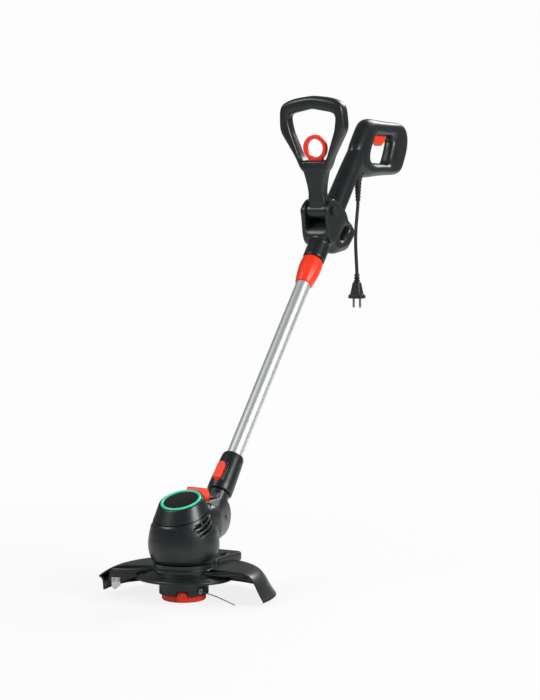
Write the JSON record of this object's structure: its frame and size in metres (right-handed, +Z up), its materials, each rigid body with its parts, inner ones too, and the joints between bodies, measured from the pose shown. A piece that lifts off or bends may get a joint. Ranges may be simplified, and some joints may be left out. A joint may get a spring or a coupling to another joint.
{
  "type": "string trimmer",
  "caption": "Corded string trimmer with a telescopic shaft, tilting motor head, half-round guard, adjustable D-shaped front handle and rear loop handle.",
  "frame": {"origin": "centre of the spool cover's flat base, on the spindle axis", "axes": "+Z up along the spindle, +Y from the head towards the user's handles, +X to the user's left when facing the head; the shaft leans 40.5 degrees from +Z towards +Y"},
  "size_m": [0.284, 0.8263, 0.7881],
  "materials": {
    "charcoal_plastic": "moulded, fine satin texture",
    "orange_plastic": "moulded, semi-gloss",
    "turquoise_plastic": "moulded, semi-gloss",
    "badge_black": "high gloss, slightly domed",
    "black_plastic": "moulded, matt",
    "tube_aluminium": "satin anodised",
    "steel": "turned and zinc plated",
    "blade_steel": "ground sheet steel",
    "copper": "enamelled copper",
    "cord_rubber": "smooth rubber",
    "nylon_line": "drawn nylon"
  },
  "bodies": {
    "rear_handle": {"rear_handle_left": "charcoal_plastic", "rear_handle_right": "charcoal_plastic", "handle_screws": "steel", "power_switch": "black_plastic", "trigger_pin": "steel", "trigger_spring": "steel", "cord_grommet": "cord_rubber", "power_cord": "cord_rubber", "plug_body": "black_plastic", "plug_blades": "steel", "tube_collet": "black_plastic", "pivot_bolt": "black_plastic", "pivot_nut": "black_plastic"},
    "trigger": {"trigger": "orange_plastic"},
    "clamp_sleeve": {"clamp_sleeve": "orange_plastic"},
    "front_handle": {"front_handle": "charcoal_plastic", "release_spring": "steel"},
    "release_ring": {"release_ring": "orange_plastic"},
    "shaft": {"aluminium_tube": "tube_aluminium", "tube_socket": "charcoal_plastic", "socket_screws": "steel", "motor_lead": "cord_rubber", "button_spring": "steel"},
    "swivel_button": {"swivel_button": "orange_plastic"},
    "swivel_neck": {"swivel_neck": "charcoal_plastic"},
    "motor_head": {"motor_housing": "charcoal_plastic", "top_cap": "charcoal_plastic", "trim_ring": "turquoise_plastic", "badge_disc": "badge_black", "cap_screws": "steel", "stator_core": "steel", "field_coils": "copper", "brush_holders": "black_plastic", "bearing_bracket": "black_plastic", "upper_bearing": "steel", "lower_bearing": "steel", "guard": "charcoal_plastic", "guard_screws": "steel", "line_cutter": "blade_steel", "cutter_screws": "steel", "pedal_pin": "steel", "pedal_spring": "steel", "tilt_pin": "steel"},
    "tilt_pedal": {"tilt_pedal": "orange_plastic"},
    "rotor": {"motor_shaft": "steel", "armature": "steel", "commutator": "copper", "cooling_fan": "black_plastic", "spool_carrier": "charcoal_plastic", "line_eyelet": "steel", "cutting_line": "nylon_line", "spool_cover": "orange_plastic", "spool_spring": "steel"},
    "spool": {"spool": "black_plastic", "line_winding": "nylon_line"}
  },
  "joints": [
    {"name": "telescope", "type": "slide", "parent": "rear_handle", "child": "shaft", "axis": [0, 0.6494, 0.7604], "range_m": [0, 0.15]},
    {"name": "sleeve_twist", "type": "hinge", "parent": "rear_handle", "child": "clamp_sleeve", "pos_m": [0, 0.39292, 0.49075], "axis": [0, 0.6494, 0.7604], "range_deg": [0, 75]},
    {"name": "front_handle_tilt", "type": "hinge", "parent": "rear_handle", "child": "front_handle", "pos_m": [0, 0.4309, 0.5944], "axis": [1, 0, 0], "range_deg": [-30, 40]},
    {"name": "release_pull", "type": "slide", "parent": "front_handle", "child": "release_ring", "axis": [0, -0.1219, 0.9925], "range_m": [0, 0.006], "stiffness_N_per_m": 600, "springref_m": -0.004, "deforming": ["release_spring"]},
    {"name": "trigger_squeeze", "type": "hinge", "parent": "rear_handle", "child": "trigger", "pos_m": [0, 0.621, 0.733], "axis": [1, 0, 0], "range_deg": [0, 8], "stiffness_Nm_per_rad": 1.2, "springref_deg": -8.59, "deforming": ["trigger_spring"]},
    {"name": "head_swivel", "type": "hinge", "parent": "shaft", "child": "swivel_neck", "pos_m": [0, 0.11041, 0.15997], "axis": [0, 0.6494, 0.7604], "range_deg": [0, 180]},
    {"name": "swivel_button_press", "type": "slide", "parent": "shaft", "child": "swivel_button", "axis": [0, 0.7604, -0.6494], "range_m": [0, 0.002], "stiffness_N_per_m": 1500, "springref_m": -0.001, "deforming": ["button_spring"]},
    {"name": "head_tilt", "type": "hinge", "parent": "swivel_neck", "child": "motor_head", "pos_m": [0, 0.07501, 0.11853], "axis": [1, 0, 0], "range_deg": [-12, 45]},
    {"name": "pedal_press", "type": "hinge", "parent": "motor_head", "child": "tilt_pedal", "pos_m": [0, 0.045, 0.141], "axis": [1, 0, 0], "range_deg": [0, 6], "stiffness_Nm_per_rad": 1.5, "springref_deg": -6.88, "deforming": ["pedal_spring"]},
    {"name": "spindle_spin", "type": "hinge", "parent": "motor_head", "child": "rotor", "pos_m": [0, 0, 0.02], "axis": [0, 0, 1], "continuous": true},
    {"name": "spool_feed", "type": "hinge", "parent": "rotor", "child": "spool", "pos_m": [0, 0, 0.016], "axis": [0, 0, 1], "continuous": true}
  ]
}
